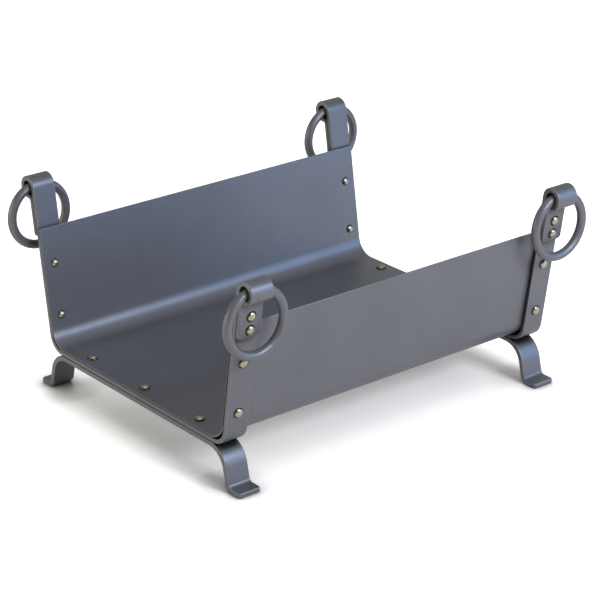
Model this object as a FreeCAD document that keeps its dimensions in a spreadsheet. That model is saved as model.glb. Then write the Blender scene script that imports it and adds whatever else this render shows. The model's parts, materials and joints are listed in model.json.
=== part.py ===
import FreeCAD, Part
import math
import os
import Sketcher

# Log holder: a tray of bent sheet, held at each end by a hoop of flat bar that stands on a foot bar,
# with a loose ring handle in each of the hoops' four rolled eyes. Rivets hold it together.
# X runs along the tray, Y across it and Z up. The origin is on the ground under the tray's middle.
# Front is -Y, rear is +Y, left is -X and right is +X. Lengths are in millimetres, angles in degrees.

# Driving dimensions: alias, value, meaning.
SIZES = (
    ("tray_length", 510.0, "tray and hoops, end to end"),
    ("floor_width", 351.0, "between the sharp outer corners of the tray's floor"),
    ("wall_splay", 8.8, "lean of walls and posts from upright"),
    ("wall_drop", 52.5, "wall's top edge below the eye's axis, along the post"),
    ("sheet_thickness", 2.0, "tray's sheet"),
    ("sheet_edge_round", 0.6, "deburred edges of the sheet"),
    ("bar_width", 32.0, "flat bar of hoops and foot bars"),
    ("bar_edge_round", 1.0, "softened long edges of the flat bar"),
    ("bar_corner_round", 4.0, "rounded corners at the flat bar's ends"),
    ("hoop_thickness", 6.0, "flat bar of the hoops"),
    ("hoop_bend", 18.0, "inner radius of the hoop's lower bends"),
    ("bend_relief", 10.0, "tray's outer bend radius less the hoop's inner one"),
    ("post_slant", 207.0, "tray's corner to the eye's axis, along the post"),
    ("eye_play", 5.5, "eye's bore less the ring's bar"),
    ("tail_bend", 3.0, "inner radius where the eye turns into its tail"),
    ("tail_gap", 0.2, "seam between tail and post"),
    ("tail_rivet_edge", 10.0, "tail's end to its lower rivet"),
    ("tail_rivet_pitch", 18.0, "lower to upper tail rivet"),
    ("tail_rivet_clear", 17.5, "upper tail rivet to the tail's bend"),
    ("tail_rivet_skin", 2.0, "metal left in the post under a tail rivet"),
    ("foot_thickness", 7.0, "flat bar of the foot bars"),
    ("leg_inset", 24.5, "tray's corner to where the foot bar turns down"),
    ("leg_bend", 26.5, "inner radius where the foot bar turns down"),
    ("leg_lean", 13.0, "outward lean of the legs from upright"),
    ("leg_straight", 18.69, "leg between its two bends"),
    ("toe_bend", 5.0, "inner radius where the leg turns out"),
    ("toe_flat", 16.0, "flat toe beyond its bend"),
    ("ring_bar", 11.5, "round bar of the rings"),
    ("ring_room", 18.25, "inside of the ring beyond each side of the post"),
    ("ring_clearance", 0.3, "ring to the rounded ends of the eye's bore"),
    ("rivet_shank", 6.0, "rivet shank diameter"),
    ("rivet_head", 14.0, "diameter of a rivet's outer head"),
    ("rivet_dome", 4.0, "height of a rivet's outer head"),
    ("peen_head", 11.5, "diameter of the head at a through rivet's other end"),
    ("peen_dome", 3.4, "height of the head at a through rivet's other end"),
    ("rivet_clearance", 0.05, "radial gap between shank and hole"),
    ("rivet_end_gap", 0.3, "blind hole deeper than its rivet"),
    ("floor_rivet_inset", 39.5, "outer floor rivets in from the tray's bends"),
    ("wall_rivet_rise", 15.5, "lower wall rivet above the tray's bend"),
    ("wall_rivet_drop", 36.5, "upper wall rivet below the tail's end"),
)

# Sizes that follow from the driving ones: alias, formula.
DERIVED = (
    ("corner_turn", "90 - wall_splay"),
    ("corner_tan", "tan(corner_turn / 2)"),
    ("leg_turn", "90 - leg_lean"),
    ("leg_bend_mid", "leg_bend + foot_thickness / 2"),
    ("toe_bend_mid", "toe_bend + foot_thickness / 2"),
    ("leg_fall", "(leg_bend_mid + toe_bend_mid) * (1 - cos(leg_turn)) + leg_straight * sin(leg_turn)"),
    ("foot_mid_z", "leg_fall + foot_thickness / 2"),
    ("foot_low", "foot_mid_z - foot_thickness / 2"),
    ("foot_top", "foot_mid_z + foot_thickness / 2"),
    ("foot_flat", "floor_width / 2 - leg_inset"),
    ("hoop_x", "(tray_length - bar_width) / 2"),
    ("hoop_mid_z", "foot_top + hoop_thickness / 2"),
    ("hoop_top", "foot_top + hoop_thickness"),
    ("hoop_bend_mid", "hoop_bend + hoop_thickness / 2"),
    ("hoop_flat", "floor_width / 2 - hoop_bend * corner_tan"),
    ("post_straight", "post_slant - hoop_bend * corner_tan"),
    ("eye_bore", "ring_bar + eye_play"),
    ("eye_mid", "(eye_bore + hoop_thickness) / 2"),
    ("eye_offset", "hoop_thickness + eye_bore / 2"),
    ("eye_y", "floor_width / 2 + post_slant * sin(wall_splay) + eye_offset * cos(wall_splay)"),
    ("eye_z", "hoop_top + post_slant * cos(wall_splay) - eye_offset * sin(wall_splay)"),
    ("tail_mid", "tail_bend + hoop_thickness / 2"),
    ("tail_shift", "hoop_thickness + tail_gap + tail_mid - eye_mid"),
    ("eye_turn", "270 - asin(tail_shift / (eye_mid + tail_mid)) / 1 deg"),
    ("tail_turn", "eye_turn - 180"),
    ("tail_fall", "sqrt((eye_mid + tail_mid) ^ 2 - tail_shift ^ 2)"),
    ("tail_flat", "tail_rivet_edge + tail_rivet_pitch + tail_rivet_clear"),
    ("tail_end", "post_slant - tail_fall - tail_flat"),
    ("tail_face", "2 * hoop_thickness + tail_gap"),
    ("tray_bend", "hoop_bend + bend_relief"),
    ("tray_bend_mid", "tray_bend - sheet_thickness / 2"),
    ("tray_mid_z", "hoop_top + sheet_thickness / 2"),
    ("tray_top", "hoop_top + sheet_thickness"),
    ("tray_flat", "floor_width / 2 - tray_bend * corner_tan"),
    ("wall_straight", "post_slant - wall_drop - tray_bend * corner_tan"),
    ("ring_inside", "bar_width / 2 + ring_room"),
    ("ring_mid", "ring_inside + ring_bar / 2"),
    ("seat_x", "bar_width / 2 - bar_edge_round"),
    ("seat_reach", "ring_inside - bar_edge_round - ring_clearance"),
    ("ring_fall", "eye_bore / 2 + bar_edge_round + sqrt(seat_reach ^ 2 - seat_x ^ 2)"),
    ("floor_rivet_y", "tray_flat - floor_rivet_inset"),
    ("wall_rivet_low", "tray_bend * corner_tan + wall_rivet_rise"),
    ("wall_rivet_high", "tail_end - wall_rivet_drop"),
    ("tail_rivet_low", "tail_end + tail_rivet_edge"),
    ("tail_rivet_high", "tail_rivet_low + tail_rivet_pitch"),
    ("wall_grip", "sheet_thickness + hoop_thickness"),
    ("floor_grip", "wall_grip + foot_thickness"),
    ("tail_hole", "tail_face - tail_rivet_skin"),
    ("tail_grip", "tail_hole - rivet_end_gap"),
    ("hole_radius", "rivet_shank / 2 + rivet_clearance"),
)

ENDS = {"left": -1, "right": 1}
SIDES = {"front": -1, "rear": 1}
SHARP = 30.0  # degrees between two faces from which their edge counts as sharp
OVERSHOOT = 1.0  # how far a drill runs past the faces it goes through
TOLERANCE = 1e-6  # lengths closer than this count as equal
X_AXIS = FreeCAD.Vector(1, 0, 0)
Z_AXIS = FreeCAD.Vector(0, 0, 1)

# A sketch numbers a curve's own points up from 1 and its two axes down from -1, in these orders.
CURVE_POINTS = ("start", "end", "centre")
SKETCH_AXES = ("across", "up")


def at(curve, point):
    """A curve's start, end or centre, as a sketch constraint takes it."""
    return curve, CURVE_POINTS.index(point) + 1


def axis_of(direction):
    return -1 - SKETCH_AXES.index(direction)


ORIGIN = at(axis_of("across"), "start")


def make_sheet(doc):
    """Writes the driving sizes as plain numbers and the derived ones as formulas."""
    sheet = doc.addObject("Spreadsheet::Sheet", "Sizes")
    rows = [(alias, str(value), meaning) for alias, value, meaning in SIZES]
    rows += [(alias, "=" + formula, "") for alias, formula in DERIVED]
    for row, (alias, content, meaning) in enumerate(rows, start=1):
        sheet.set(f"A{row}", alias)
        sheet.set(f"B{row}", content)
        sheet.set(f"C{row}", meaning)
        sheet.setAlias(f"B{row}", alias)
    doc.recompute()
    return sheet


def size(alias):
    """Reads one size from the spreadsheet."""
    value = FreeCAD.ActiveDocument.Sizes.get(alias)
    return float(getattr(value, "Value", value))


def new_body(label):
    doc = FreeCAD.ActiveDocument
    body = doc.addObject("PartDesign::Body", label)
    body.Label = label
    return body


def origin_plane(body, role):
    return next(item for item in body.Origin.OriginFeatures if item.Role == role)


def new_sketch(body, name, role):
    sketch = body.newObject("Sketcher::SketchObject", name)
    sketch.AttachmentSupport = (origin_plane(body, role), [""])
    sketch.MapMode = "FlatFace"
    return sketch


def bind(sketch, constraint, formula):
    """Adds a driving constraint and ties it to the spreadsheet."""
    index = sketch.addConstraint(constraint)
    sketch.setExpression(f"Constraints[{index}]", formula)


class BendPath:
    """Half of a bent bar's middle line, drawn from the Z axis outwards in the YZ plane."""

    def __init__(self, body, start_height):
        self.sketch = new_sketch(body, "BendPath", "YZ_Plane")
        self.start_height = start_height
        self.point = FreeCAD.Vector(0, size(start_height), 0)
        self.heading = 0.0
        self.last = None

    def _join(self, index, first, last):
        """Makes the new piece of the path run on smoothly from the one before."""
        begin = at(index, first)
        if self.last:
            self.sketch.addConstraint(Sketcher.Constraint("Tangent", *self.last, *begin))
        else:
            height = Sketcher.Constraint("DistanceY", *ORIGIN, *begin, self.point.y)
            self.sketch.addConstraint(Sketcher.Constraint("PointOnObject", *begin, axis_of("up")))
            self.sketch.addConstraint(Sketcher.Constraint("Horizontal", index))
            bind(self.sketch, height, f"Sizes.{self.start_height}")
        self.last = at(index, last)

    def straight(self, length):
        along = FreeCAD.Vector(math.cos(self.heading), math.sin(self.heading), 0)
        end = self.point + along * size(length)
        index = self.sketch.addGeometry(Part.LineSegment(self.point, end), False)
        self._join(index, "start", "end")
        bind(self.sketch, Sketcher.Constraint("Distance", index, size(length)), f"Sizes.{length}")
        self.point = end

    def bend(self, radius, turn, side):
        """Turns to the left with side 1, or to the right with side -1."""
        reach = size(radius)
        sweep = side * math.radians(size(turn))
        left = FreeCAD.Vector(-math.sin(self.heading), math.cos(self.heading), 0)
        centre = self.point + left * (side * reach)
        begin = math.atan2(self.point.y - centre.y, self.point.x - centre.x)
        finish = begin + sweep
        circle = Part.Circle(centre, Z_AXIS, reach)
        arc = Part.ArcOfCircle(circle, min(begin, finish), max(begin, finish))
        index = self.sketch.addGeometry(arc, False)
        self._join(index, *(("start", "end") if side > 0 else ("end", "start")))
        bind(self.sketch, Sketcher.Constraint("Radius", index, reach), f"Sizes.{radius}")
        bind(self.sketch, Sketcher.Constraint("Angle", index, abs(sweep)), f"Sizes.{turn} * 1 deg")
        self.point = centre + FreeCAD.Vector(math.cos(finish), math.sin(finish), 0) * reach
        self.heading += sweep


def bar_section(body, width, thickness, height):
    """The bar's rectangular section in the XZ plane, at the start of its path."""
    sketch = new_sketch(body, "Section", "XZ_Plane")
    half = size(width) / 2
    low = size(height) - size(thickness) / 2
    high = low + size(thickness)
    corners = [FreeCAD.Vector(x, z, 0) for x, z in ((-half, low), (half, low), (half, high), (-half, high))]
    bottom, right, top, left = range(4)
    for begin, finish in zip(corners, corners[1:] + corners[:1]):
        sketch.addGeometry(Part.LineSegment(begin, finish), False)
    for index, following in ((bottom, right), (right, top), (top, left), (left, bottom)):
        sketch.addConstraint(Sketcher.Constraint("Coincident", *at(index, "end"), *at(following, "start")))
    for index in (bottom, top):
        sketch.addConstraint(Sketcher.Constraint("Horizontal", index))
    for index in (left, right):
        sketch.addConstraint(Sketcher.Constraint("Vertical", index))
    low_left, low_right = at(bottom, "start"), at(bottom, "end")
    bind(sketch, Sketcher.Constraint("DistanceX", *low_left, *low_right, 2 * half), f"Sizes.{width}")
    rise = Sketcher.Constraint("DistanceY", *low_right, *at(right, "end"), high - low)
    bind(sketch, rise, f"Sizes.{thickness}")
    bind(sketch, Sketcher.Constraint("DistanceX", *ORIGIN, *low_right, half), f"Sizes.{width} / 2")
    underside = Sketcher.Constraint("DistanceY", *ORIGIN, *low_left, low)
    bind(sketch, underside, f"Sizes.{height} - Sizes.{thickness} / 2")
    return sketch


def bent_bar(label, width, thickness, height, bends):
    """Sweeps a flat section along half of a bent path and mirrors it to the other side."""
    body = new_body(label)
    path = BendPath(body, height)
    for bend in bends:
        if len(bend) == 1:
            path.straight(*bend)
        else:
            path.bend(*bend)
    sweep = body.newObject("PartDesign::AdditivePipe", "Sweep")
    sweep.Profile = bar_section(body, width, thickness, height)
    sweep.Spine = path.sketch
    mirror = body.newObject("PartDesign::Mirrored", "OtherSide")
    mirror.Originals = [sweep]
    mirror.MirrorPlane = (origin_plane(body, "XZ_Plane"), [""])
    body.Tip = mirror
    FreeCAD.ActiveDocument.recompute()
    return body


def is_sharp(shape, edge):
    """Tells whether the two faces at an edge meet at an angle."""
    faces = shape.ancestorsOfType(edge, Part.Face)
    if len(faces) != 2:
        return False
    middle = edge.valueAt((edge.FirstParameter + edge.LastParameter) / 2)
    normals = [face.normalAt(*face.Surface.parameter(middle)) for face in faces]
    return math.degrees(normals[0].getAngle(normals[1])) > SHARP


def round_edges(body, name, radius, wanted):
    """Rounds the edges of the body's newest feature for which wanted(edge) is true."""
    base = body.Tip
    names = [f"Edge{index}" for index, edge in enumerate(base.Shape.Edges, start=1) if wanted(edge)]
    fillet = body.newObject("PartDesign::Fillet", name)
    fillet.Base = (base, names)
    fillet.setExpression("Radius", f"Sizes.{radius}")
    body.Tip = fillet
    FreeCAD.ActiveDocument.recompute()


def soften_bar(body, thickness):
    """Rounds a flat bar's end corners in plan, then all its sharp edges."""
    half = size("bar_width") / 2
    depth = size(thickness)

    def at_end_corner(edge):
        beside = all(abs(abs(vertex.X) - half) < TOLERANCE for vertex in edge.Vertexes)
        return beside and abs(edge.Length - depth) < TOLERANCE

    round_edges(body, "EndCorners", "bar_corner_round", at_end_corner)
    shape = body.Tip.Shape
    round_edges(body, "LongEdges", "bar_edge_round", lambda edge: is_sharp(shape, edge))


def drill(body, name, start, direction, depth):
    """Cuts one rivet hole from start along direction."""
    hole = body.newObject("PartDesign::SubtractiveCylinder", name)
    hole.setExpression("Radius", "Sizes.hole_radius")
    hole.Height = depth
    hole.Placement = FreeCAD.Placement(start, FreeCAD.Rotation(Z_AXIS, direction))
    body.Tip = hole


def outward(side):
    """Direction square to the wall on that side, out of the tray."""
    splay = math.radians(size("wall_splay"))
    return FreeCAD.Vector(0, side * math.cos(splay), -math.sin(splay))


def wall_point(side, slant, depth):
    """Point up the wall from the tray's corner, and out from the hoop's inner face."""
    splay = math.radians(size("wall_splay"))
    corner = FreeCAD.Vector(0, side * size("floor_width") / 2, size("hoop_top"))
    along = FreeCAD.Vector(0, side * math.sin(splay), math.cos(splay))
    return corner + along * size(slant) + outward(side) * depth


def floor_rivet_places():
    """Name and Y of each of one end's floor rivets."""
    return {"front": -size("floor_rivet_y"), "middle": 0.0, "rear": size("floor_rivet_y")}


def drill_floor(body, x, low, high):
    """Floor rivet holes at one end, between two heights."""
    for name, y in floor_rivet_places().items():
        start = FreeCAD.Vector(x, y, size(low) - OVERSHOOT)
        depth = size(high) - size(low) + 2 * OVERSHOOT
        drill(body, f"FloorHole_{name}", start, Z_AXIS, depth)


def drill_walls(body, x, inner, outer):
    """Wall rivet holes at one end, between two depths measured from the hoop's inner face."""
    for side_name, side in SIDES.items():
        for level in ("low", "high"):
            start = wall_point(side, f"wall_rivet_{level}", inner - OVERSHOOT) + X_AXIS * x
            drill(body, f"WallHole_{side_name}_{level}", start, outward(side), outer - inner + 2 * OVERSHOOT)


def drill_tails(body):
    """Blind tail rivet holes, through each tail and into the post behind it."""
    for side_name, side in SIDES.items():
        for level in ("low", "high"):
            start = wall_point(side, f"tail_rivet_{level}", size("tail_face") + OVERSHOOT)
            drill(body, f"TailHole_{side_name}_{level}", start, -outward(side), size("tail_hole") + OVERSHOOT)


def make_tray():
    bends = (("tray_flat",), ("tray_bend_mid", "corner_turn", 1), ("wall_straight",))
    body = bent_bar("tray", "tray_length", "sheet_thickness", "tray_mid_z", bends)
    shape = body.Tip.Shape
    round_edges(body, "SheetEdges", "sheet_edge_round", lambda edge: is_sharp(shape, edge))
    for end in ENDS.values():
        drill_floor(body, end * size("hoop_x"), "hoop_top", "tray_top")
        drill_walls(body, end * size("hoop_x"), -size("sheet_thickness"), 0)
    return body


def make_hoop(end_name, end):
    bends = (
        ("hoop_flat",),
        ("hoop_bend_mid", "corner_turn", 1),
        ("post_straight",),
        ("eye_mid", "eye_turn", -1),
        ("tail_mid", "tail_turn", 1),
        ("tail_flat",),
    )
    body = bent_bar(f"{end_name}_hoop", "bar_width", "hoop_thickness", "hoop_mid_z", bends)
    soften_bar(body, "hoop_thickness")
    drill_floor(body, 0, "foot_top", "hoop_top")
    drill_walls(body, 0, 0, size("hoop_thickness"))
    drill_tails(body)
    body.setExpression("Placement.Base.x", f"{end} * Sizes.hoop_x")
    return body


def make_foot_bar(end_name, end):
    bends = (
        ("foot_flat",),
        ("leg_bend_mid", "leg_turn", -1),
        ("leg_straight",),
        ("toe_bend_mid", "leg_turn", 1),
        ("toe_flat",),
    )
    body = bent_bar(f"{end_name}_foot_bar", "bar_width", "foot_thickness", "foot_mid_z", bends)
    soften_bar(body, "foot_thickness")
    drill_floor(body, 0, "foot_low", "foot_top")
    body.setExpression("Placement.Base.x", f"{end} * Sizes.hoop_x")
    return body


def make_ring(side_name, side, end_name, end):
    """A ring hangs in its eye, with its plane upright and along X."""
    body = new_body(f"{side_name}_{end_name}_ring")
    sketch = new_sketch(body, "BarSection", "XY_Plane")
    centre = FreeCAD.Vector(size("ring_mid"), 0, 0)
    bar = sketch.addGeometry(Part.Circle(centre, Z_AXIS, size("ring_bar") / 2), False)
    middle = at(bar, "centre")
    sketch.addConstraint(Sketcher.Constraint("PointOnObject", *middle, axis_of("across")))
    bind(sketch, Sketcher.Constraint("DistanceX", *ORIGIN, *middle, size("ring_mid")), "Sizes.ring_mid")
    bind(sketch, Sketcher.Constraint("Diameter", bar, size("ring_bar")), "Sizes.ring_bar")
    turn = body.newObject("PartDesign::Revolution", "Round")
    turn.Profile = sketch
    turn.ReferenceAxis = (sketch, ["V_Axis"])
    turn.Angle = 360.0
    body.setExpression("Placement.Base.x", f"{end} * Sizes.hoop_x")
    body.setExpression("Placement.Base.y", f"{side} * Sizes.eye_y")
    body.setExpression("Placement.Base.z", "Sizes.eye_z - Sizes.ring_fall")
    return body


def make_rivet(label, grip, place, heads):
    """A rivet with its outer head's seat at the local origin and its shank along -Z."""
    body = new_body(label)
    sketch = new_sketch(body, "HalfSection", "XZ_Plane")
    head, dome = size("rivet_head") / 2, size("rivet_dome")
    peen, peen_dome = size("peen_head") / 2, size("peen_dome")
    shank = size("rivet_shank") / 2
    end = -size(grip)

    def dome_arc(half, height, rim, up):
        """A domed head's outline on one side of the axis, with its top up or down."""
        ball = (half * half + height * height) / (2 * height)
        circle = Part.Circle(FreeCAD.Vector(0, rim + up * (height - ball), 0), Z_AXIS, ball)
        top = up * math.pi / 2
        return Part.ArcOfCircle(circle, *sorted((top, top - up * math.asin(half / ball))))

    def line(x0, z0, x1, z1):
        return Part.LineSegment(FreeCAD.Vector(x0, z0, 0), FreeCAD.Vector(x1, z1, 0))

    axis, upper, seat, side, foot, lower = range(6)
    bottom = end - peen_dome if heads == 2 else end
    pieces = [
        line(0, dome, 0, bottom),
        dome_arc(head, dome, 0, 1),
        line(head, 0, shank, 0),
        line(shank, 0, shank, end),
    ]
    joins = [
        (at(axis, "start"), at(upper, "end")),
        (at(upper, "start"), at(seat, "start")),
        (at(seat, "end"), at(side, "start")),
        (at(side, "end"), at(foot, "start")),
    ]
    if heads == 2:
        pieces += [line(shank, end, peen, end), dome_arc(peen, peen_dome, end, -1)]
        joins += [(at(foot, "end"), at(lower, "end")), (at(lower, "start"), at(axis, "end"))]
    else:
        pieces += [line(shank, end, 0, end)]
        joins += [(at(foot, "end"), at(axis, "end"))]
    sketch.addGeometry(pieces, False)
    for first, second in joins:
        sketch.addConstraint(Sketcher.Constraint("Coincident", *first, *second))
    sketch.addConstraint(Sketcher.Constraint("PointOnObject", *at(axis, "start"), axis_of("up")))
    sketch.addConstraint(Sketcher.Constraint("PointOnObject", *at(upper, "centre"), axis_of("up")))
    sketch.addConstraint(Sketcher.Constraint("PointOnObject", *at(seat, "start"), axis_of("across")))
    for index in (axis, side):
        sketch.addConstraint(Sketcher.Constraint("Vertical", index))
    for index in (seat, foot):
        sketch.addConstraint(Sketcher.Constraint("Horizontal", index))
    side_top, side_end = at(side, "start"), at(side, "end")
    bind(sketch, Sketcher.Constraint("DistanceY", *ORIGIN, *at(axis, "start"), dome), "Sizes.rivet_dome")
    bind(sketch, Sketcher.Constraint("DistanceX", *ORIGIN, *at(seat, "start"), head), "Sizes.rivet_head / 2")
    bind(sketch, Sketcher.Constraint("DistanceX", *ORIGIN, *side_top, shank), "Sizes.rivet_shank / 2")
    bind(sketch, Sketcher.Constraint("DistanceY", *side_end, *side_top, -end), f"Sizes.{grip}")
    if heads == 2:
        rim, tip = at(foot, "end"), at(axis, "end")
        sketch.addConstraint(Sketcher.Constraint("PointOnObject", *at(lower, "centre"), axis_of("up")))
        bind(sketch, Sketcher.Constraint("DistanceY", *tip, *rim, peen_dome), "Sizes.peen_dome")
        bind(sketch, Sketcher.Constraint("DistanceX", *ORIGIN, *rim, peen), "Sizes.peen_head / 2")
    turn = body.newObject("PartDesign::Revolution", "Round")
    turn.Profile = sketch
    turn.ReferenceAxis = (sketch, ["V_Axis"])
    turn.Angle = 360.0
    body.Placement = place
    return body


def make_floor_rivets(end_name, end):
    for name, y in floor_rivet_places().items():
        seat = FreeCAD.Vector(end * size("hoop_x"), y, size("tray_top"))
        place = FreeCAD.Placement(seat, FreeCAD.Rotation())
        yield make_rivet(f"{end_name}_floor_rivet_{name}", "floor_grip", place, 2)


def make_post_rivets(side_name, side, end_name, end):
    """The two wall rivets and the two tail rivets of one post."""
    turn = FreeCAD.Rotation(Z_AXIS, outward(side))
    kinds = (("wall", size("hoop_thickness"), "wall_grip", 2), ("tail", size("tail_face"), "tail_grip", 1))
    for kind, depth, grip, heads in kinds:
        for level, word in (("low", "lower"), ("high", "upper")):
            seat = wall_point(side, f"{kind}_rivet_{level}", depth) + X_AXIS * (end * size("hoop_x"))
            label = f"{side_name}_{end_name}_{kind}_rivet_{word}"
            yield make_rivet(label, grip, FreeCAD.Placement(seat, turn), heads)


def make_all():
    pieces = [make_tray()]
    for end_name, end in ENDS.items():
        pieces.append(make_hoop(end_name, end))
        pieces.append(make_foot_bar(end_name, end))
        pieces.extend(make_floor_rivets(end_name, end))
        for side_name, side in SIDES.items():
            pieces.append(make_ring(side_name, side, end_name, end))
            pieces.extend(make_post_rivets(side_name, side, end_name, end))
    return pieces


def check(doc, pieces):
    """Stops before anything is written if a feature failed or a shape is not one sound solid."""
    for item in doc.Objects:
        if "Invalid" in item.State or "Error" in item.State:
            raise RuntimeError(f"{item.Label} failed: {item.State}")
    for piece in pieces:
        shape = piece.Shape
        if shape.isNull() or not shape.isValid() or len(shape.Solids) != 1:
            raise RuntimeError(f"{piece.Label} is not one sound solid")


def main():
    doc = FreeCAD.newDocument("LogHolder")
    make_sheet(doc)
    pieces = make_all()
    doc.recompute()
    check(doc, pieces)
    os.makedirs("parts", exist_ok=True)
    for piece in pieces:
        piece.Shape.exportStep(f"parts/{piece.Label}.step")
    for alias in ("foot_top", "tray_top", "eye_y", "eye_z", "ring_fall", "ring_mid"):
        print(alias, round(size(alias), 4))
    print(len(pieces), "pieces")


main()
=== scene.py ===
import json
import math
import random

import bmesh
import bpy
from mathutils import Matrix, Vector
from mathutils.bvhtree import BVHTree


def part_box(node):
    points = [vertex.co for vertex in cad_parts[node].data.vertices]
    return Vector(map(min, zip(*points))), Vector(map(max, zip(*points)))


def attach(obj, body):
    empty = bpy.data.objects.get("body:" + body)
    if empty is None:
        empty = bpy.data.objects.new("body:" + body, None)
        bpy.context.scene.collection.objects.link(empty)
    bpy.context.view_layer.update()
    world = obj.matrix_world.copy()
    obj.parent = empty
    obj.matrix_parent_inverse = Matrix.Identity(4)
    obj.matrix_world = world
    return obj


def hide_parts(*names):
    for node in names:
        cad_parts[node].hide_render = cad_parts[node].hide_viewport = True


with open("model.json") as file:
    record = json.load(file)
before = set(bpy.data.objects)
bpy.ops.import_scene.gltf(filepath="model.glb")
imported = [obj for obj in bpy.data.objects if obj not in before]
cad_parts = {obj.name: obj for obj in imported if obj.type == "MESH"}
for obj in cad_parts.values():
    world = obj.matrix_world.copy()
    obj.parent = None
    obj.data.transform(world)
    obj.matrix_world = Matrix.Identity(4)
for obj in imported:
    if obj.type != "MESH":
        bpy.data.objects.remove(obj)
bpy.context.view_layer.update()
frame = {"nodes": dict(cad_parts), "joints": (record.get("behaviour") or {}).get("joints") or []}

# Log holder, in metres: X along the tray, Y across it from front to rear, Z up from the ground.
# The left end is at -X and the front at -Y.

MM = 0.001
FULL_TURN = 2 * math.pi
ENDS = {"left": -1, "right": 1}
SIDES = {"front": -1, "rear": 1}
X_AXIS = Vector((1, 0, 0))
Y_AXIS = Vector((0, 1, 0))
Z_AXIS = Vector((0, 0, 1))

# Stock.
SHEET_THICK = 2.0 * MM
SHEET_EDGE = 0.6 * MM
HOOP_THICK = 6.0 * MM
FOOT_THICK = 7.0 * MM
BAR_EDGE = 1.4 * MM
BAR_CORNER = 4.0 * MM

# Bends of the tray and the hoops, which share the lean of the walls.
SPLAY = math.radians(8.8)
CORNER_TURN = math.pi / 2 - SPLAY
FLOOR_CORNER = 175.5 * MM
TRAY_BEND = 26.0 * MM
HOOP_BEND = 18.0 * MM
WALL_DROP = 52.5 * MM
TAIL_BEND = 3.0 * MM
TAIL_GAP = 0.2 * MM
TAIL_FLAT = 45.5 * MM

# Bends of the foot bars.
LEG_INSET = 24.5 * MM
LEG_BEND = 26.5 * MM
LEG_TURN = math.radians(77.0)
LEG_STRAIGHT = 18.69 * MM
TOE_BEND = 5.0 * MM
TOE_FLAT = 16.0 * MM

# Rivets: radius of the shank, and radius and height of the outer and the inner heads.
RIVET_SHANK = 3.0 * MM
OUTER_HEAD = (7.0 * MM, 4.0 * MM)
INNER_HEAD = (5.75 * MM, 3.4 * MM)

# Last hammer blows on a head: how many, how far they tilt, how deep they go, and how high above its seat
# they start.
BLOWS = 12
BLOW_TILT = math.radians(34.0)
BLOW_DEPTH = (0.03 * MM, 0.11 * MM)
BLOW_REACH = 0.6 * MM

# Painted shade round a head's rim: full up to the first share of its height and gone from the second.
RIM_BAND = (0.36, 0.58)

# How finely the steel and the rivets are divided.
BEND_STEP = math.radians(5.0)
BAR_STEP = 6.0 * MM
BAR_STRIPS = 4
SHEET_STEP = 12.0 * MM
EDGE_SEGMENTS = 4
CORNER_SEGMENTS = 6
RING_SIDES = 32
RING_STEPS = 144
RIVET_SIDES = 44
RIVET_RINGS = 14
SHARP = math.radians(30.0)
TINY = 0.001 * MM

# Dark joints, and painted shade in hollows: how near a joined edge is to the other piece, and how far,
# from what height, along how many directions and with what effect a spot looks for steel that shuts it in.
JOINT_REACH = 0.9 * MM
HOLLOW_REACH = 14.0 * MM
HOLLOW_START = 0.3 * MM
HOLLOW_RAYS = 48
PAINTED_SHADE_DEPTH = 2.0
GOLDEN_TURN = math.pi * (3 - math.sqrt(5))


def place_of(joint_name):
    """Where the frame has a joint's axis."""
    joint = next(item for item in frame["joints"] if item["name"] == joint_name)
    return Vector(joint["pos_m"])


def size_of(node):
    low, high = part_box(node)
    return high - low


def up_wall(side):
    return Vector((0, side * math.sin(SPLAY), math.cos(SPLAY)))


def out_of_wall(side):
    return Vector((0, side * math.cos(SPLAY), -math.sin(SPLAY)))


# Sizes that the frame gives. The corner is where the faces that the tray and a hoop share would meet
# unbent, and the slant is how far up the post from there its eye starts.
EYE = place_of("rear_right_ring_swing")
HOOP_X = EYE.x
BAR_WIDTH = size_of("left_foot_bar").x
TRAY_LENGTH = size_of("tray").x
HOOP_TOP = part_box("tray")[0].z
FOOT_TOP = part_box("left_foot_bar")[1].z
CORNER = Vector((HOOP_X, FLOOR_CORNER, HOOP_TOP))
POST_SLANT = (EYE - CORNER).dot(up_wall(1))
EYE_BORE = 2 * ((EYE - CORNER).dot(out_of_wall(1)) - HOOP_THICK)


# Camera: where the photograph was taken from.

CAMERA_PLACE = Vector((-1.6840, -2.0830, 1.2495))
CAMERA_TARGET = Vector((-0.0486, -0.0656, 0.1500))
FILM_WIDTH = 36.0
CAMERA_LENS = 137.4


def set_camera():
    data = bpy.data.cameras.new("camera")
    data.sensor_width = FILM_WIDTH
    data.lens = CAMERA_LENS
    camera = bpy.data.objects.new("camera", data)
    camera.location = CAMERA_PLACE
    camera.rotation_euler = (CAMERA_TARGET - CAMERA_PLACE).to_track_quat("-Z", "Y").to_euler()
    bpy.context.scene.collection.objects.link(camera)
    bpy.context.scene.camera = camera


# Shader steps that the floor, the room and the finishes are made of.

def add_math(tree, operation, first, second):
    """A node's output worked together with a number or with another node's output."""
    step = tree.nodes.new("ShaderNodeMath")
    step.operation = operation
    tree.links.new(first, step.inputs[0])
    if isinstance(second, float):
        step.inputs[1].default_value = second
    else:
        tree.links.new(second, step.inputs[1])
    return step.outputs[0]


def add_mix(tree, factor, low, high):
    """A colour between low and high, each a colour or another node's output."""
    mix = tree.nodes.new("ShaderNodeMix")
    mix.data_type = "RGBA"
    tree.links.new(factor, mix.inputs["Factor"])
    for socket, colour in (("A", low), ("B", high)):
        target = next(item for item in mix.inputs if item.name == socket and item.type == "RGBA")
        if isinstance(colour, tuple):
            target.default_value = colour
        else:
            tree.links.new(colour, target)
    return next(item for item in mix.outputs if item.type == "RGBA")


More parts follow.
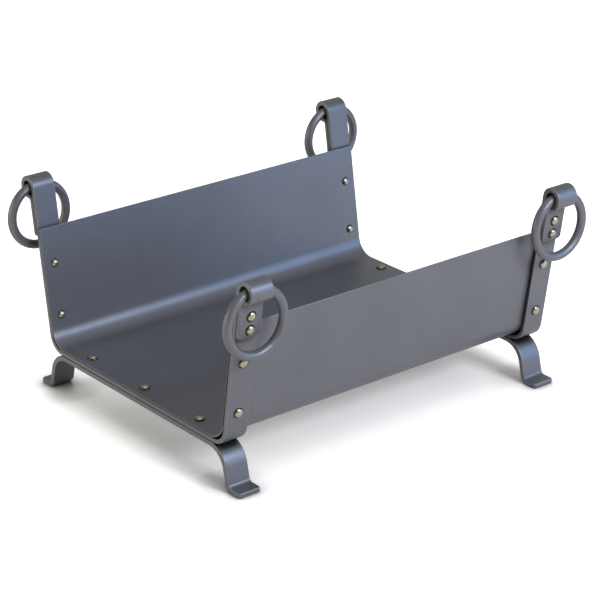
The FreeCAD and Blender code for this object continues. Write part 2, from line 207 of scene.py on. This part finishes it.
def add_range(tree, value, low, high):
    """A value that runs from 0 to 1, made to run from low to high."""
    spread = tree.nodes.new("ShaderNodeMapRange")
    spread.inputs["To Min"].default_value = low
    spread.inputs["To Max"].default_value = high
    tree.links.new(value, spread.inputs["Value"])
    return spread.outputs["Result"]


def add_attribute(tree, name):
    attribute = tree.nodes.new("ShaderNodeAttribute")
    attribute.attribute_name = name
    return attribute.outputs["Fac"]


def add_bumps(tree, shader, *layers):
    """Bumps the surface by layers of height, strength and distance, one over the other."""
    below = None
    for height, strength, distance in layers:
        bump = tree.nodes.new("ShaderNodeBump")
        bump.inputs["Strength"].default_value = strength
        bump.inputs["Distance"].default_value = distance
        tree.links.new(height, bump.inputs["Height"])
        if below:
            tree.links.new(below, bump.inputs["Normal"])
        below = bump.outputs["Normal"]
    tree.links.new(below, shader.inputs["Normal"])


# Studio: white floor, a cool key from the front, a warm fill from the left, white fills from above and
# behind, and a bluish card on the right that shows only as gloss.

FLOOR_HALF = 12.0
FLOOR_COLOUR = (0.90, 0.89, 0.86, 1)
FLOOR_LIFT = 0.88
FLOOR_MIRRORED = 0.45
ROOM_WHITE = 1.0
ROOM_MIRRORED = 0.50
ROOM_FILL = 0.12
LAMPS_AIM = Vector((0, 0, 0.15))
COOL_WHITE = (0.88, 0.91, 1.0)
WARM_WHITE = (1.0, 0.95, 0.80)
PLAIN_WHITE = (1.0, 1.0, 1.0)
CARD_BLUE = (0.22, 0.52, 1.0)

# Shades on the floor round the object: how far each reaches and how deep it is.
FLOOR_SHADES = ((0.12, 0.9), (0.055, 3.2))


def seen_by_eye(tree, straight, mirrored):
    """A strength for what the eye sees straight, another for gloss and glass, and 0 for rays that light."""
    path = tree.nodes.new("ShaderNodeLightPath")
    plain = add_math(tree, "MULTIPLY", path.outputs["Is Camera Ray"], straight)
    gloss = add_math(tree, "MULTIPLY", path.outputs["Is Glossy Ray"], mirrored)
    glass = add_math(tree, "MULTIPLY", path.outputs["Is Transmission Ray"], mirrored)
    return add_math(tree, "ADD", add_math(tree, "ADD", plain, gloss), glass)


def floor_finish():
    """Matt white, lifted for the eye except where the object shades it."""
    material = bpy.data.materials.new("studio_floor")
    material.use_nodes = True
    tree = material.node_tree
    tree.nodes.clear()
    matt = tree.nodes.new("ShaderNodeBsdfDiffuse")
    matt.inputs["Color"].default_value = FLOOR_COLOUR
    amount = seen_by_eye(tree, FLOOR_LIFT, FLOOR_MIRRORED)
    for reach, depth in FLOOR_SHADES:
        shade = tree.nodes.new("ShaderNodeAmbientOcclusion")
        shade.inputs["Distance"].default_value = reach
        deep = add_math(tree, "POWER", shade.outputs["AO"], depth)
        amount = add_math(tree, "MULTIPLY", amount, deep)
    lift = tree.nodes.new("ShaderNodeEmission")
    tree.links.new(amount, lift.inputs["Strength"])
    both = tree.nodes.new("ShaderNodeAddShader")
    tree.links.new(matt.outputs[0], both.inputs[0])
    tree.links.new(lift.outputs[0], both.inputs[1])
    output = tree.nodes.new("ShaderNodeOutputMaterial")
    tree.links.new(both.outputs[0], output.inputs["Surface"])
    return material


def lay_floor():
    sheet = bmesh.new()
    bmesh.ops.create_grid(sheet, x_segments=1, y_segments=1, size=FLOOR_HALF)
    data = bpy.data.meshes.new("floor")
    sheet.to_mesh(data)
    sheet.free()
    data.materials.append(floor_finish())
    floor = bpy.data.objects.new("floor", data)
    bpy.context.scene.collection.objects.link(floor)


def fill_room():
    world = bpy.data.worlds.new("studio")
    bpy.context.scene.world = world
    world.use_nodes = True
    tree = world.node_tree
    tree.nodes.clear()
    strength = add_math(tree, "MAXIMUM", seen_by_eye(tree, ROOM_WHITE, ROOM_MIRRORED), ROOM_FILL)
    background = tree.nodes.new("ShaderNodeBackground")
    tree.links.new(strength, background.inputs["Strength"])
    output = tree.nodes.new("ShaderNodeOutputWorld")
    tree.links.new(background.outputs[0], output.inputs["Surface"])


def hang_softbox(name, direction, distance, width, height, power, colour):
    """A lamp hung off in a direction and aimed at the object."""
    data = bpy.data.lights.new(name, "AREA")
    data.shape = "RECTANGLE"
    data.size = width
    data.size_y = height
    data.energy = power
    data.color = colour
    lamp = bpy.data.objects.new(name, data)
    away = Vector(direction).normalized()
    lamp.location = LAMPS_AIM + away * distance
    lamp.rotation_euler = (-away).to_track_quat("-Z", "Y").to_euler()
    bpy.context.scene.collection.objects.link(lamp)
    return lamp


def light_studio():
    lay_floor()
    fill_room()
    hang_softbox(
        "key_front", direction=(0.16, -0.84, 0.54), distance=2.6, width=0.9, height=0.7,
        power=39.0, colour=COOL_WHITE,
    )
    hang_softbox(
        "fill_left", direction=(-0.88, 0.30, 0.20), distance=2.4, width=1.4, height=1.0,
        power=14.0, colour=WARM_WHITE,
    )
    hang_softbox(
        "top", direction=(-0.06, -0.18, 1.0), distance=2.4, width=1.4, height=1.4,
        power=6.0, colour=PLAIN_WHITE,
    )
    rear = hang_softbox(
        "fill_rear", direction=(0.45, 0.80, 0.36), distance=2.6, width=1.4, height=1.2,
        power=26.0, colour=PLAIN_WHITE,
    )
    rear.visible_glossy = False
    card = hang_softbox(
        "blue_card_right", direction=(0.58, -0.70, 0.32), distance=2.2, width=1.2, height=1.6,
        power=21.0, colour=CARD_BLUE,
    )
    card.visible_diffuse = False


# Finishes. The swell, the peel and the pits are each a strength and a height.

NOISE_DETAIL = {"Cloud": 4.0, "Grain": 2.0}
NOISE_LOW = 0.3
NOISE_HIGH = 0.7

PAINT_DARK = (0.174, 0.175, 0.192, 1)
PAINT_LIGHT = (0.190, 0.191, 0.209, 1)
# Arris colour: partly edge wear, partly a painted highlight.
PAINT_ARRIS_WEAR_AND_HIGHLIGHT = (0.310, 0.314, 0.300, 1)
# Near-black for dark joints and for painted shade in hollows.
PAINT_JOINT_AND_SHADE = (0.018, 0.018, 0.017, 1)
PAINT_CLOUD_SCALE = 14.0
PAINT_GRAIN_SCALE = 1100.0
PAINT_WEAR_AND_HIGHLIGHT = (0.15, 0.60)
PAINT_ROUGHNESS = (0.36, 0.45)
PAINT_METALLIC = 0.45
PAINT_SPECULAR = 0.35
PAINT_SWELL = (0.5, 0.8 * MM)
PAINT_PEEL = (0.12, 0.1 * MM)

BRASS_BASE = (0.42, 0.38, 0.28, 1)
# Near-black painted shade round the rim of each head.
BRASS_RIM_SHADE = (0.018, 0.015, 0.009, 1)
BRASS_CLOUD_SCALE = 260.0
BRASS_GRAIN_SCALE = 2600.0
BRASS_RIM_SHADE_SPREAD = (0.75, 1.0)
BRASS_ROUGHNESS = (0.20, 0.36)
BRASS_METALLIC = 1.0
BRASS_PITS = (0.10, 0.05 * MM)


def cloud_and_grain():
    """A node group of soft clouds and a fine grain, both from 0 to 1, for any finish."""
    group = bpy.data.node_groups.new("cloud_and_grain", "ShaderNodeTree")
    for kind in NOISE_DETAIL:
        group.interface.new_socket(name=f"{kind} Scale", in_out="INPUT", socket_type="NodeSocketFloat")
        group.interface.new_socket(name=kind, in_out="OUTPUT", socket_type="NodeSocketFloat")
    entry = group.nodes.new("NodeGroupInput")
    outlet = group.nodes.new("NodeGroupOutput")
    place = group.nodes.new("ShaderNodeTexCoord")
    for kind, detail in NOISE_DETAIL.items():
        texture = group.nodes.new("ShaderNodeTexNoise")
        texture.inputs["Detail"].default_value = detail
        group.links.new(place.outputs["Object"], texture.inputs["Vector"])
        group.links.new(entry.outputs[f"{kind} Scale"], texture.inputs["Scale"])
        spread = group.nodes.new("ShaderNodeMapRange")
        spread.inputs["From Min"].default_value = NOISE_LOW
        spread.inputs["From Max"].default_value = NOISE_HIGH
        group.links.new(texture.outputs["Fac"], spread.inputs["Value"])
        group.links.new(spread.outputs["Result"], outlet.inputs[kind])
    return group


def add_noise(tree, group, cloud_scale, grain_scale):
    """The clouds and the grain of one finish, at its own scales."""
    noise = tree.nodes.new("ShaderNodeGroup")
    noise.node_tree = group
    noise.inputs["Cloud Scale"].default_value = cloud_scale
    noise.inputs["Grain Scale"].default_value = grain_scale
    return noise.outputs["Cloud"], noise.outputs["Grain"]


def new_finish(name):
    """A material with only a Principled shader and its output."""
    material = bpy.data.materials.new(name)
    material.use_nodes = True
    tree = material.node_tree
    tree.nodes.clear()
    output = tree.nodes.new("ShaderNodeOutputMaterial")
    shader = tree.nodes.new("ShaderNodeBsdfPrincipled")
    tree.links.new(shader.outputs[0], output.inputs["Surface"])
    return material, tree, shader


def pewter_paint(noise):
    """Satin grey paint with a faint peel, lighter on arrises as wear and a painted highlight, dark in
    joints, and with painted shade in hollows.
    """
    material, tree, shader = new_finish("pewter_paint")
    cloud, grain = add_noise(tree, noise, PAINT_CLOUD_SCALE, PAINT_GRAIN_SCALE)
    coat = add_mix(tree, cloud, PAINT_DARK, PAINT_LIGHT)
    # Arrises painted lighter, partly as wear and partly as a painted highlight.
    wear_and_highlight = add_math(tree, "MULTIPLY", add_attribute(tree, "arris"), add_range(tree, cloud, *PAINT_WEAR_AND_HIGHLIGHT))
    edged = add_mix(tree, wear_and_highlight, coat, PAINT_ARRIS_WEAR_AND_HIGHLIGHT)
    # Painted shade: hollows, and the joints, are darkened towards near black.
    joined_and_shaded = add_mix(tree, add_attribute(tree, "joint_and_shade"), edged, PAINT_JOINT_AND_SHADE)
    tree.links.new(joined_and_shaded, shader.inputs["Base Color"])
    tree.links.new(add_range(tree, grain, *PAINT_ROUGHNESS), shader.inputs["Roughness"])
    shader.inputs["Metallic"].default_value = PAINT_METALLIC
    shader.inputs["Specular IOR Level"].default_value = PAINT_SPECULAR
    add_bumps(tree, shader, (cloud, *PAINT_SWELL), (grain, *PAINT_PEEL))
    return material


def pale_brass(noise):
    """Peened brass, plain on top of the head, with painted shade round its rim."""
    material, tree, shader = new_finish("pale_brass")
    cloud, grain = add_noise(tree, noise, BRASS_CLOUD_SCALE, BRASS_GRAIN_SCALE)
    # Painted shade on the rim band of each head.
    rim_shade = add_math(tree, "MULTIPLY", add_attribute(tree, "rim"), add_range(tree, cloud, *BRASS_RIM_SHADE_SPREAD))
    tree.links.new(add_mix(tree, rim_shade, BRASS_BASE, BRASS_RIM_SHADE), shader.inputs["Base Color"])
    tree.links.new(add_range(tree, cloud, *BRASS_ROUGHNESS), shader.inputs["Roughness"])
    shader.inputs["Metallic"].default_value = BRASS_METALLIC
    add_bumps(tree, shader, (grain, *BRASS_PITS))
    return material


# Making pieces.

def only(kind, items):
    return [item for item in items if isinstance(item, kind)]


def with_edges(faces):
    return faces + list(dict.fromkeys(edge for face in faces for edge in face.edges))


def round_edges(mesh, edges, radius, segments):
    """Rounds edges over and gives the new faces."""
    made = bmesh.ops.bevel(
        mesh, geom=edges, offset=radius, offset_type="OFFSET", segments=segments,
        profile=0.5, affect="EDGES", material=-1,
    )
    return made["faces"]


def spin_round(mesh, axis, steps):
    """Spins an outline all the way round an axis through the origin and closes the skin."""
    outline = mesh.verts[:] + mesh.edges[:]
    bmesh.ops.spin(
        mesh, geom=outline, cent=(0, 0, 0), axis=axis, angle=FULL_TURN, steps=steps, use_merge=True
    )
    bmesh.ops.remove_doubles(mesh, verts=mesh.verts, dist=TINY)
    bmesh.ops.recalc_face_normals(mesh, faces=mesh.faces)


def hang_piece(mesh, name, body, slot, material, *nodes):
    """Makes a finished mesh an object that rides on its body in place of its CAD nodes."""
    data = bpy.data.meshes.new(name)
    mesh.to_mesh(data)
    mesh.free()
    data.materials.append(material)
    for face in data.polygons:
        face.use_smooth = True
    piece = bpy.data.objects.new(name, data)
    bpy.context.scene.collection.objects.link(piece)
    even = piece.modifiers.new("even_shading", "WEIGHTED_NORMAL")
    even.keep_sharp = True
    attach(piece, body)
    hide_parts(*nodes)


def skin_of(node):
    """The CAD surface of a node, to find what lies against it."""
    data = frame["nodes"][node].data
    points = [vert.co for vert in data.vertices]
    return BVHTree.FromPolygons(points, [face.vertices for face in data.polygons])


def even_rays():
    """Directions spread evenly all round."""
    rays = []
    for step in range(HOLLOW_RAYS):
        rise = 1 - (2 * step + 1) / HOLLOW_RAYS
        reach = math.sqrt(1 - rise * rise)
        turn = step * GOLDEN_TURN
        rays.append(Vector((reach * math.cos(turn), reach * math.sin(turn), rise)))
    return rays


def shut_in(vert, rays, skins):
    """How much of what a spot faces is steel close by, from 0 to 1."""
    start = vert.co + vert.normal * HOLLOW_START
    met = faced = 0
    for ray in rays:
        share = ray.dot(vert.normal)
        if share > 0:
            faced += share
            if any(skin.ray_cast(start, ray, HOLLOW_REACH)[0] for skin in skins):
                met += share
    return met / faced


class BentStock:
    """Flat stock, drawn out from the middle of the holder through runs and bends towards the rear."""

    def __init__(self, width, thick, middle, strips):
        self.mesh = bmesh.new()
        self.half_width = width / 2
        self.thick = thick
        self.place = Vector((0, 0, middle))
        self.heading = 0.0
        stand_up = Matrix.Rotation(math.pi / 2, 4, "X")
        section = Matrix.Translation(self.place) @ stand_up @ Matrix.Diagonal((width, thick, 1, 1))
        bmesh.ops.create_grid(self.mesh, x_segments=strips, y_segments=1, size=0.5, matrix=section)
        self.end = list(self.mesh.faces)

    def run(self, length, step):
        """Draws the end face straight on."""
        along = Vector((0, math.cos(self.heading), math.sin(self.heading)))
        count = max(1, round(length / step))
        for _ in range(count):
            drawn = bmesh.ops.extrude_face_region(self.mesh, geom=with_edges(self.end))["geom"]
            verts = only(bmesh.types.BMVert, drawn)
            bmesh.ops.translate(self.mesh, verts=verts, vec=along * (length / count))
            self.end = only(bmesh.types.BMFace, drawn)
        self.place += along * length

    def bend(self, inner_radius, turn):
        """Spins the end face upwards by a positive turn, or downwards by a negative one."""
        left = Vector((0, -math.sin(self.heading), math.cos(self.heading)))
        centre = self.place + left * math.copysign(inner_radius + self.thick / 2, turn)
        steps = math.ceil(abs(turn) / BEND_STEP)
        spun = bmesh.ops.spin(
            self.mesh, geom=with_edges(self.end), cent=centre, axis=X_AXIS, angle=turn, steps=steps
        )
        self.end = only(bmesh.types.BMFace, spun["geom_last"])
        self.place = centre + Matrix.Rotation(turn, 3, "X") @ (self.place - centre)
        self.heading += turn

    def round_end(self, radius):
        """Rounds the two corners of the end in plan."""
        corners = []
        for edge in only(bmesh.types.BMEdge, with_edges(self.end)):
            if all(self.half_width - abs(vert.co.x) < TINY for vert in edge.verts):
                corners.append(edge)
        round_edges(self.mesh, corners, radius, CORNER_SEGMENTS)

    def mirror(self):
        """Opens the middle section, mirrors the half to the front and turns the faces outwards."""
        middle = [face for face in self.mesh.faces if all(abs(vert.co.y) < TINY for vert in face.verts)]
        bmesh.ops.delete(self.mesh, geom=middle, context="FACES")
        everything = self.mesh.verts[:] + self.mesh.edges[:] + self.mesh.faces[:]
        bmesh.ops.mirror(self.mesh, geom=everything, axis="Y", merge_dist=TINY)
        bmesh.ops.remove_doubles(self.mesh, verts=self.mesh.verts, dist=TINY)
        bmesh.ops.recalc_face_normals(self.mesh, faces=self.mesh.faces)
        if self.mesh.calc_volume(signed=True) < 0:
            bmesh.ops.reverse_faces(self.mesh, faces=self.mesh.faces)

    def soften(self, radius, shift=Vector()):
        """Rounds every sharp edge, moves the piece to its end and marks the new arrises for the paint."""
        sharp = [edge for edge in self.mesh.edges if edge.is_manifold and edge.calc_face_angle() > SHARP]
        self.strip = set(round_edges(self.mesh, sharp, radius, EDGE_SEGMENTS))
        bmesh.ops.translate(self.mesh, verts=self.mesh.verts, vec=shift)
        self.mesh.normal_update()
        self.arris = self.mesh.verts.layers.float.new("arris")
        self.joint_and_shade = self.mesh.verts.layers.float.new("joint_and_shade")
        for vert in self.mesh.verts:
            if all(face in self.strip for face in vert.link_faces):
                vert[self.arris] = 1.0

    def mark_shade_in_hollows(self, *nodes):
        """Marks how far the steel of these nodes shuts each spot in, which the paint shows as painted
        shade.
        """
        rays = even_rays()
        skins = [skin_of(node) for node in nodes]
        for vert in self.mesh.verts:
            vert[self.joint_and_shade] = min(PAINTED_SHADE_DEPTH * shut_in(vert, rays, skins), 1.0)

    def mark_joints(self, *nodes):
        """Marks for the paint the edges that lie against these nodes."""
        skins = [skin_of(node) for node in nodes]
        for vert in self.mesh.verts:
            on_edge = any(face in self.strip for face in vert.link_faces)
            if on_edge and any(skin.find_nearest(vert.co, JOINT_REACH)[0] for skin in skins):
                vert[self.joint_and_shade] = 1.0
                vert[self.arris] = 0.0


def fold_tray(paint):
    """One sheet folded into the floor and the two walls."""
    setback = (TRAY_BEND + SHEET_THICK) * math.tan(CORNER_TURN / 2)
    strips = round(TRAY_LENGTH / SHEET_STEP)
    sheet = BentStock(TRAY_LENGTH, SHEET_THICK, HOOP_TOP + SHEET_THICK / 2, strips)
    sheet.run(FLOOR_CORNER - setback, SHEET_STEP)
    sheet.bend(TRAY_BEND, CORNER_TURN)
    sheet.run(POST_SLANT - WALL_DROP - setback, SHEET_STEP)
    sheet.mirror()
    sheet.soften(SHEET_EDGE)
    sheet.mark_joints("left_hoop", "right_hoop")
    hang_piece(sheet.mesh, "tray_sheet", "frame", "grey_steel", paint, "tray")


def bend_hoop(end_name, end, paint):
    """Flat bar under the tray and up both walls, its tops rolled into eyes with riveted tails."""
    setback = HOOP_BEND * math.tan(CORNER_TURN / 2)
    eye_mid = (EYE_BORE + HOOP_THICK) / 2
    tail_mid = TAIL_BEND + HOOP_THICK / 2
    tail_shift = HOOP_THICK + TAIL_GAP + tail_mid - eye_mid
    tail_turn = math.pi / 2 - math.asin(tail_shift / (eye_mid + tail_mid))
    bar = BentStock(BAR_WIDTH, HOOP_THICK, HOOP_TOP - HOOP_THICK / 2, BAR_STRIPS)
    bar.run(FLOOR_CORNER - setback, BAR_STEP)
    bar.bend(HOOP_BEND, CORNER_TURN)
    bar.run(POST_SLANT - setback, BAR_STEP)
    # The eye goes past a half turn, and the tail's bend brings the bar back along the post.
    bar.bend(EYE_BORE / 2, -(math.pi + tail_turn))
    bar.bend(TAIL_BEND, tail_turn)
    bar.run(TAIL_FLAT, BAR_STEP)
    bar.round_end(BAR_CORNER)
    bar.mirror()
    bar.soften(BAR_EDGE, X_AXIS * (end * HOOP_X))
    bar.mark_shade_in_hollows("tray", f"{end_name}_hoop", f"{end_name}_foot_bar")
    bar.mark_joints("tray", f"{end_name}_foot_bar")
    hang_piece(bar.mesh, f"{end_name}_hoop_bar", "frame", "grey_steel", paint, f"{end_name}_hoop")


def bend_foot_bar(end_name, end, paint):
    """Flat bar under the hoop, both ends turned down into legs and out into toes."""
    bar = BentStock(BAR_WIDTH, FOOT_THICK, FOOT_TOP - FOOT_THICK / 2, BAR_STRIPS)
    bar.run(FLOOR_CORNER - LEG_INSET, BAR_STEP)
    bar.bend(LEG_BEND, -LEG_TURN)
    bar.run(LEG_STRAIGHT, BAR_STEP)
    bar.bend(TOE_BEND, LEG_TURN)
    bar.run(TOE_FLAT, BAR_STEP)
    bar.round_end(BAR_CORNER)
    bar.mirror()
    bar.soften(BAR_EDGE, X_AXIS * (end * HOOP_X))
    bar.mark_shade_in_hollows(f"{end_name}_hoop")
    bar.mark_joints(f"{end_name}_hoop")
    hang_piece(bar.mesh, f"{end_name}_foot_flat", "frame", "grey_steel", paint, f"{end_name}_foot_bar")


def bend_ring(ring, paint):
    """Round bar bent into a ring."""
    low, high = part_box(ring)
    bar = high.y - low.y
    reach = (high.x - low.x - bar) / 2
    mesh = bmesh.new()
    section = Matrix.Translation((reach, 0, 0))
    bmesh.ops.create_circle(mesh, cap_ends=False, segments=RING_SIDES, radius=bar / 2, matrix=section)
    spin_round(mesh, Y_AXIS, RING_STEPS)
    bmesh.ops.translate(mesh, verts=mesh.verts, vec=(low + high) / 2)
    hang_piece(mesh, f"{ring}_handle", ring, "grey_steel", paint, ring)


# Rivets.

def ball_of(head):
    """Radius of the ball that a domed head is cut from."""
    half, height = head
    return (half * half + height * height) / (2 * height)


def rivet_outline(mesh, grip, heads):
    """Half of a rivet's section, from the top of its outer head down to its other end."""

    def arc(vert, centre, head):
        lean = math.asin(head[0] / ball_of(head))
        spun = bmesh.ops.spin(
            mesh, geom=[vert], cent=(0, 0, centre), axis=Y_AXIS, angle=lean, steps=RIVET_RINGS
        )
        return only(bmesh.types.BMVert, spun["geom_last"])[0]

    def line(vert, x, z):
        drawn = bmesh.ops.extrude_vert_indiv(mesh, verts=[vert])["verts"][0]
        drawn.co = (x, 0, z)
        return drawn

    top = bmesh.ops.create_vert(mesh, co=(0, 0, OUTER_HEAD[1]))["vert"][0]
    rim = arc(top, OUTER_HEAD[1] - ball_of(OUTER_HEAD), OUTER_HEAD)
    neck = line(line(rim, RIVET_SHANK, 0), RIVET_SHANK, -grip)
    if heads == 2:
        arc(line(neck, INNER_HEAD[0], -grip), ball_of(INNER_HEAD) - INNER_HEAD[1] - grip, INNER_HEAD)
    else:
        line(neck, 0, -grip)


def peen(verts, seat, head, up, draws):
    """Leaves the flats of the last hammer blows on a domed head."""
    ball = ball_of(head)
    centre = Vector((0, 0, seat + up * (head[1] - ball)))
    for _ in range(BLOWS):
        tilt = BLOW_TILT * math.sqrt(draws.random())
        turn = FULL_TURN * draws.random()
        lean = math.sin(tilt)
        facing = Vector((lean * math.cos(turn), lean * math.sin(turn), up * math.cos(tilt)))
        limit = ball - draws.uniform(*BLOW_DEPTH)
        for vert in verts:
            proud = (vert.co - centre).dot(facing) - limit
            if proud > 0:
                vert.co -= facing * proud


def set_rivet(node, axis, heads, brass):
    """A rivet where its CAD node is, with its outer head along the axis."""
    points = [vert.co for vert in frame["nodes"][node].data.vertices]

    def span(direction):
        reach = [point.dot(direction) for point in points]
        return min(reach), max(reach)

    def middle(direction):
        return direction * (sum(span(direction)) / 2)

    across = axis.cross(X_AXIS)
    low, high = span(axis)
    grip = high - low - OUTER_HEAD[1] - (INNER_HEAD[1] if heads == 2 else 0)
    seat = middle(X_AXIS) + middle(across) + axis * (high - OUTER_HEAD[1])

    mesh = bmesh.new()
    rivet_outline(mesh, grip, heads)
    spin_round(mesh, Z_AXIS, RIVET_SIDES)

    # The rim band that gets painted shade, full at the seat and gone higher up.
    rim = mesh.verts.layers.float.new("rim")
    full, gone = RIM_BAND
    for vert in mesh.verts:
        rise = max(vert.co.z / OUTER_HEAD[1], (-grip - vert.co.z) / INNER_HEAD[1])
        vert[rim] = min(max((gone - rise) / (gone - full), 0), 1)
    draws = random.Random(node)
    peen([vert for vert in mesh.verts if vert.co.z > BLOW_REACH], 0, OUTER_HEAD, 1, draws)
    peen([vert for vert in mesh.verts if vert.co.z < -grip - BLOW_REACH], -grip, INNER_HEAD, -1, draws)
    turn = Matrix((X_AXIS, across, axis)).transposed().to_4x4()
    bmesh.ops.transform(mesh, matrix=Matrix.Translation(seat) @ turn, verts=mesh.verts)
    hang_piece(mesh, f"{node}_peened", "frame", "rivet_metal", brass, node)


def set_rivets(brass):
    for end_name in ENDS:
        for place in ("front", "middle", "rear"):
            set_rivet(f"{end_name}_floor_rivet_{place}", Z_AXIS, 2, brass)
        for side_name, side in SIDES.items():
            for level in ("lower", "upper"):
                set_rivet(f"{side_name}_{end_name}_wall_rivet_{level}", out_of_wall(side), 2, brass)
                set_rivet(f"{side_name}_{end_name}_tail_rivet_{level}", out_of_wall(side), 1, brass)


def make_log_holder():
    noise = cloud_and_grain()
    paint = pewter_paint(noise)
    brass = pale_brass(noise)
    fold_tray(paint)
    for end_name, end in ENDS.items():
        bend_hoop(end_name, end, paint)
        bend_foot_bar(end_name, end, paint)
        for side_name in SIDES:
            bend_ring(f"{side_name}_{end_name}_ring", paint)
    set_rivets(brass)


set_camera()
light_studio()
make_log_holder()
bpy.context.scene.view_settings.view_transform = "Standard"
